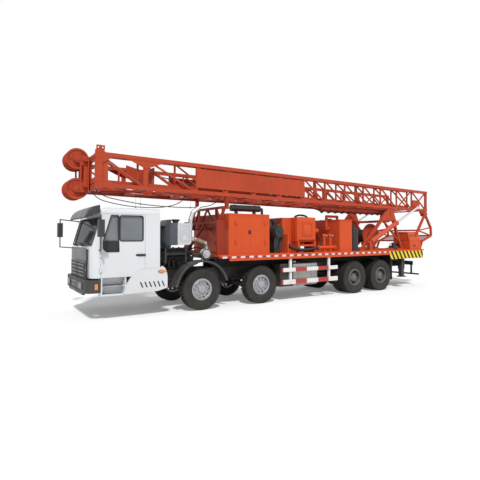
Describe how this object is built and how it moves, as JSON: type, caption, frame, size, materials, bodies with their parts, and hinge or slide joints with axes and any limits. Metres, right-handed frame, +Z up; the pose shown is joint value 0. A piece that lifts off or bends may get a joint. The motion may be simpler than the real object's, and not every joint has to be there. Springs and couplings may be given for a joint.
{
  "type": "truck-mounted workover rig",
  "caption": "Truck-mounted workover rig: forward cab, steered tandem front axles, deck machinery, winch and a telescoping lattice mast folded over the cab.",
  "frame": {"origin": "centre of the bounding box in plan, on the ground", "axes": "+X forward towards the cab, +Y to the driver's left side, +Z up"},
  "size_m": [13.6076, 3.2, 4.134],
  "materials": {
    "chassis_black": "semi-gloss black chassis paint",
    "cab_white": "white gloss paint",
    "trim_black": "textured black plastic",
    "glass": "lightly tinted glass",
    "cabin_grey": "dark grey trim",
    "lamp_amber": "amber lens",
    "engine_grey": "oily dark casting",
    "exhaust_steel": "worn steel",
    "guard_black": "black plastic",
    "rig_orange": "orange-red enamel",
    "hazard_yellow": "yellow with black slanted stripes",
    "guard_white": "white with red stripes",
    "tank_alloy": "bright alloy",
    "rest_red": "dark red oxide enamel",
    "vessel_black": "black enamel",
    "sheave_red": "orange-red enamel on castings",
    "ram_orange": "orange-red enamel",
    "rod_chrome": "hard chrome",
    "drum_red": "orange-red enamel",
    "tyre": "black rubber",
    "rim_silver": "silver paint",
    "rim_grey": "grey paint"
  },
  "bodies": {
    "chassis": {"frame_rails": "chassis_black", "front_axles": "chassis_black", "rear_axles": "chassis_black", "cab_shell": "cab_white", "cab_trim": "trim_black", "cab_glass": "glass", "cab_interior": "cabin_grey", "fenders": "cab_white", "lamps": "lamp_amber", "engine": "engine_grey", "exhaust": "exhaust_steel", "mudguards": "guard_black", "deck": "rig_orange", "rear_skirt": "hazard_yellow", "side_guards": "guard_white", "tanks": "tank_alloy", "mast_rest": "rest_red", "cabinet": "rig_orange", "vessels": "vessel_black", "pump_set": "rig_orange", "hydraulic_tank": "rig_orange", "a_frames": "rig_orange", "console": "rig_orange", "rear_stand": "rig_orange"},
    "cab_door_left": {"cab_door_left": "cab_white", "door_glass_left": "glass"},
    "cab_door_right": {"cab_door_right": "cab_white", "door_glass_right": "glass"},
    "cabinet_door_front": {"cabinet_door_front": "rig_orange"},
    "cabinet_door_rear": {"cabinet_door_rear": "rig_orange"},
    "knuckle_1_left": {"knuckle_1_left": "chassis_black"},
    "knuckle_1_right": {"knuckle_1_right": "chassis_black"},
    "knuckle_2_left": {"knuckle_2_left": "chassis_black"},
    "knuckle_2_right": {"knuckle_2_right": "chassis_black"},
    "wheel_1_left": {"tyre_1_left": "tyre", "rim_1_left": "rim_silver"},
    "wheel_1_right": {"tyre_1_right": "tyre", "rim_1_right": "rim_silver"},
    "wheel_2_left": {"tyre_2_left": "tyre", "rim_2_left": "rim_silver"},
    "wheel_2_right": {"tyre_2_right": "tyre", "rim_2_right": "rim_silver"},
    "wheel_3_left": {"tyre_3_left": "tyre", "rim_3_left": "rim_grey"},
    "wheel_3_right": {"tyre_3_right": "tyre", "rim_3_right": "rim_grey"},
    "wheel_4_left": {"tyre_4_left": "tyre", "rim_4_left": "rim_grey"},
    "wheel_4_right": {"tyre_4_right": "tyre", "rim_4_right": "rim_grey"},
    "mast_lower": {"mast_lower": "rig_orange"},
    "mast_upper": {"mast_upper": "rig_orange"},
    "sheaves_upper": {"sheaves_upper": "sheave_red"},
    "sheaves_lower": {"sheaves_lower": "sheave_red"},
    "ram_barrels": {"ram_barrels": "ram_orange"},
    "ram_rods": {"ram_rods": "rod_chrome"},
    "winch_drum": {"winch_drum": "drum_red"},
    "jack_left": {"jack_leg_left": "chassis_black"},
    "jack_right": {"jack_leg_right": "chassis_black"}
  },
  "joints": [
    {"name": "steer_1_left", "type": "hinge", "parent": "chassis", "child": "knuckle_1_left", "pos_m": [3.60621, 0.84, 0.55], "axis": [0, 0, 1], "range_deg": [-32, 32]},
    {"name": "spin_1_left", "type": "hinge", "parent": "knuckle_1_left", "child": "wheel_1_left", "pos_m": [3.60621, 1.02, 0.55], "axis": [0, 1, 0], "continuous": true},
    {"name": "steer_1_right", "type": "hinge", "parent": "chassis", "child": "knuckle_1_right", "pos_m": [3.60621, -0.84, 0.55], "axis": [0, 0, 1], "range_deg": [-32, 32]},
    {"name": "spin_1_right", "type": "hinge", "parent": "knuckle_1_right", "child": "wheel_1_right", "pos_m": [3.60621, -1.02, 0.55], "axis": [0, 1, 0], "continuous": true},
    {"name": "steer_2_left", "type": "hinge", "parent": "chassis", "child": "knuckle_2_left", "pos_m": [1.70621, 0.84, 0.55], "axis": [0, 0, 1], "range_deg": [-21, 21]},
    {"name": "spin_2_left", "type": "hinge", "parent": "knuckle_2_left", "child": "wheel_2_left", "pos_m": [1.70621, 1.02, 0.55], "axis": [0, 1, 0], "continuous": true},
    {"name": "steer_2_right", "type": "hinge", "parent": "chassis", "child": "knuckle_2_right", "pos_m": [1.70621, -0.84, 0.55], "axis": [0, 0, 1], "range_deg": [-21, 21]},
    {"name": "spin_2_right", "type": "hinge", "parent": "knuckle_2_right", "child": "wheel_2_right", "pos_m": [1.70621, -1.02, 0.55], "axis": [0, 1, 0], "continuous": true},
    {"name": "spin_3_left", "type": "hinge", "parent": "chassis", "child": "wheel_3_left", "pos_m": [-2.12379, 0.92, 0.55], "axis": [0, 1, 0], "continuous": true},
    {"name": "spin_3_right", "type": "hinge", "parent": "chassis", "child": "wheel_3_right", "pos_m": [-2.12379, -0.92, 0.55], "axis": [0, 1, 0], "continuous": true},
    {"name": "spin_4_left", "type": "hinge", "parent": "chassis", "child": "wheel_4_left", "pos_m": [-3.47379, 0.92, 0.55], "axis": [0, 1, 0], "continuous": true},
    {"name": "spin_4_right", "type": "hinge", "parent": "chassis", "child": "wheel_4_right", "pos_m": [-3.47379, -0.92, 0.55], "axis": [0, 1, 0], "continuous": true},
    {"name": "cab_door_left", "type": "hinge", "parent": "chassis", "child": "cab_door_left", "pos_m": [6.19621, 1.251, 1.5], "axis": [0, 0, -1], "range_deg": [0, 70]},
    {"name": "cab_door_right", "type": "hinge", "parent": "chassis", "child": "cab_door_right", "pos_m": [6.19621, -1.251, 1.5], "axis": [0, 0, 1], "range_deg": [0, 70]},
    {"name": "cabinet_door_front", "type": "hinge", "parent": "chassis", "child": "cabinet_door_front", "pos_m": [2.57121, 1.171, 2], "axis": [0, 0, -1], "range_deg": [0, 110]},
    {"name": "cabinet_door_rear", "type": "hinge", "parent": "chassis", "child": "cabinet_door_rear", "pos_m": [1.58121, 1.171, 2], "axis": [0, 0, 1], "range_deg": [0, 110]},
    {"name": "mast_raise", "type": "hinge", "parent": "chassis", "child": "mast_lower", "pos_m": [-6.35379, 0, 2.86], "axis": [0, -1, 0], "range_deg": [0, 90]},
    {"name": "ram_tilt", "type": "hinge", "parent": "chassis", "child": "ram_barrels", "pos_m": [-3.00379, 0, 1.73], "axis": [0, -1, 0], "range_deg": [-1, 2.4]},
    {"name": "ram_stroke", "type": "slide", "parent": "ram_barrels", "child": "ram_rods", "axis": [-0.8988, 0, 0.4383], "range_m": [0, 0.822]},
    {"name": "mast_extend", "type": "slide", "parent": "mast_lower", "child": "mast_upper", "axis": [0.9999, 0, 0.0122], "range_m": [0, 10.8]},
    {"name": "sheaves_upper", "type": "hinge", "parent": "mast_upper", "child": "sheaves_upper", "pos_m": [6.53481, 0, 3.87254], "axis": [0, 1, 0], "continuous": true},
    {"name": "sheaves_lower", "type": "hinge", "parent": "mast_upper", "child": "sheaves_lower", "pos_m": [6.54379, 0, 3.13759], "axis": [0, 1, 0], "continuous": true},
    {"name": "winch_turn", "type": "hinge", "parent": "chassis", "child": "winch_drum", "pos_m": [-3.84379, 0, 2], "axis": [0, 1, 0], "continuous": true},
    {"name": "jack_left", "type": "slide", "parent": "chassis", "child": "jack_left", "axis": [0, 0, -1], "range_m": [0, 0.39]},
    {"name": "jack_right", "type": "slide", "parent": "chassis", "child": "jack_right", "axis": [0, 0, -1], "range_m": [0, 0.39]}
  ],
  "couplings": [
    {"joint": "steer_1_right", "follows": "steer_1_left", "ratio": 1},
    {"joint": "steer_2_left", "follows": "steer_1_left", "ratio": 0.65},
    {"joint": "steer_2_right", "follows": "steer_1_left", "ratio": 0.65},
    {"joint": "ram_tilt", "follows": "mast_raise", "ratio": 0.015242},
    {"joint": "ram_stroke", "follows": "mast_raise", "m_per_rad": 0.51666}
  ]
}
